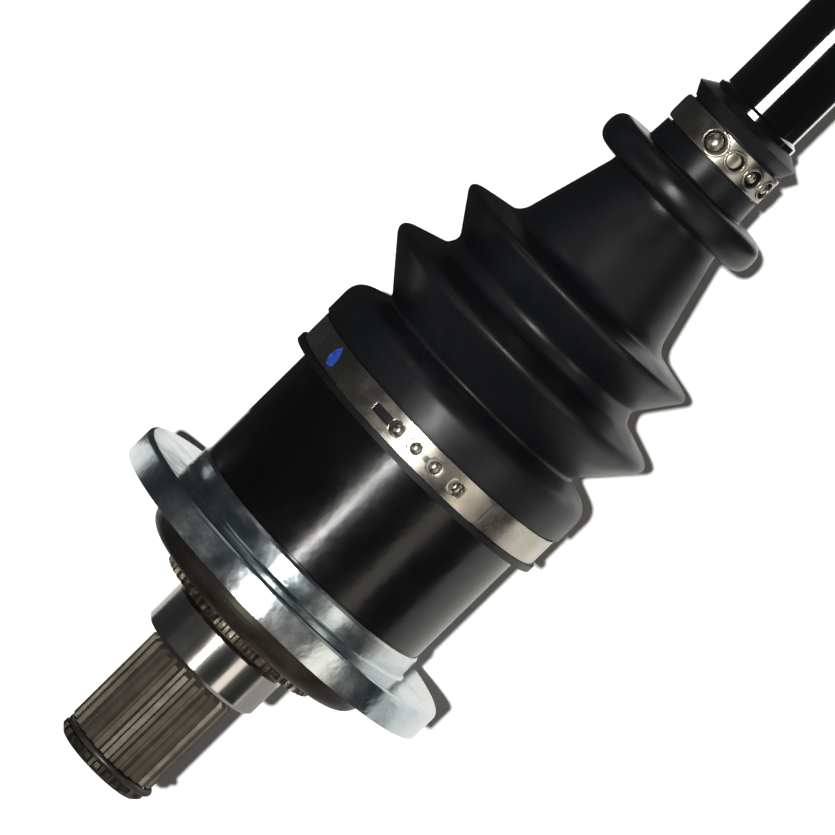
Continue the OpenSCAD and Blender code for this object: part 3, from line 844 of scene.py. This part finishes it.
def link_light(lamp, node, state):
    """Lets the lamp light only this node ("INCLUDE") or everything else ("EXCLUDE")."""
    receivers = bpy.data.collections.new(f"linked_to_{lamp.name}")
    receivers.objects.link(NODES[node])
    receivers.collection_objects[0].light_linking.link_state = state
    lamp.light_linking.receiver_collection = receivers


def sun():
    """Lights the floor and casts the shadows, but shows in no reflection."""
    lamp = bpy.data.lights.new("sun", "SUN")
    lamp.energy = SUN_STRENGTH
    lamp.angle = SUN_SPREAD
    lamp.color = WHITE
    place = around(0, 1, SUN_TURN) + Vector((math.tan(SUN_LEAN), 0, 0))
    thing = place_light("sun", lamp, place, Vector((0, 0, 0)))
    thing.visible_glossy = False


def lights():
    """The sun, a long tube that draws the streaks, a broad box whose streak only the bar shows, a soft
    warm box at the side and four dim boxes round about, which the other views see mirrored."""
    sun()
    stub = Vector((0, 0, 0))
    tube = box_light("tube", around(0, 1.7, 6.6), stub, 0.10, 0.9, 54.0, WHITE)
    tube.visible_diffuse = False
    bar = Vector((0.2, 0, 0))
    bar_box = box_light("bar_box", around(bar.x, 1.7, 8.4), bar, 0.66, 0.9, 26.0, WHITE)
    bar_box.visible_diffuse = False
    link_light(bar_box, "axle_shaft", "INCLUDE")
    side_box = box_light("side_box", around(0, 1.6, -47.0), stub, 0.44, 1.2, 1.4, WARM)
    link_light(side_box, "axle_shaft", "EXCLUDE")
    middle = Vector((AXLE_MIDDLE, 0, 0))
    for number in range(4):
        turn = Matrix.Rotation(math.radians(45 + 90 * number), 3, "Z")
        corner = turn @ Vector((1.9, 0, 1.1))
        dim = box_light(f"corner_box_{number + 1}", middle + corner, middle, 1.4, 1.4, 0.45, WHITE)
        dim.visible_diffuse = False


def room():
    """A dark room that shows as a white backdrop behind the axle."""
    world = bpy.data.worlds.new("room")
    bpy.context.scene.world = world
    world.use_nodes = True
    nodes, links = world.node_tree.nodes, world.node_tree.links
    dark = nodes["Background"]
    dark.inputs["Color"].default_value = (0.9, 0.95, 1.0, 1)
    dark.inputs["Strength"].default_value = 0.035
    pale = nodes.new("ShaderNodeBackground")
    pale.inputs["Color"].default_value = (1, 1, 1, 1)
    path = nodes.new("ShaderNodeLightPath")
    mix = nodes.new("ShaderNodeMixShader")
    links.new(path.outputs["Is Camera Ray"], mix.inputs["Fac"])
    links.new(dark.outputs["Background"], mix.inputs[1])
    links.new(pale.outputs["Background"], mix.inputs[2])
    links.new(mix.outputs["Shader"], nodes["World Output"].inputs["Surface"])


def camera():
    """Looks almost straight down, with the axle running to the upper right."""
    along = Vector((math.cos(LEAN), 0, -math.sin(LEAN)))
    side = Vector((0, 1, 0))
    right = along * math.cos(SLANT) - side * math.sin(SLANT)
    up = along * math.sin(SLANT) + side * math.cos(SLANT)
    lens = bpy.data.cameras.new("camera")
    lens.lens = FOCAL_LENGTH
    lens.sensor_width = 36.0
    thing = bpy.data.objects.new("camera", lens)
    bpy.context.scene.collection.objects.link(thing)
    thing.matrix_world = Matrix.Translation(LOOK_AT + TO_CAMERA * CAMERA_DISTANCE) @ Matrix(
        (right, up, TO_CAMERA)
    ).transposed().to_4x4()
    bpy.context.scene.camera = thing


floor_and_cards()
lights()
room()
camera()
bpy.context.scene.view_settings.view_transform = "Standard"
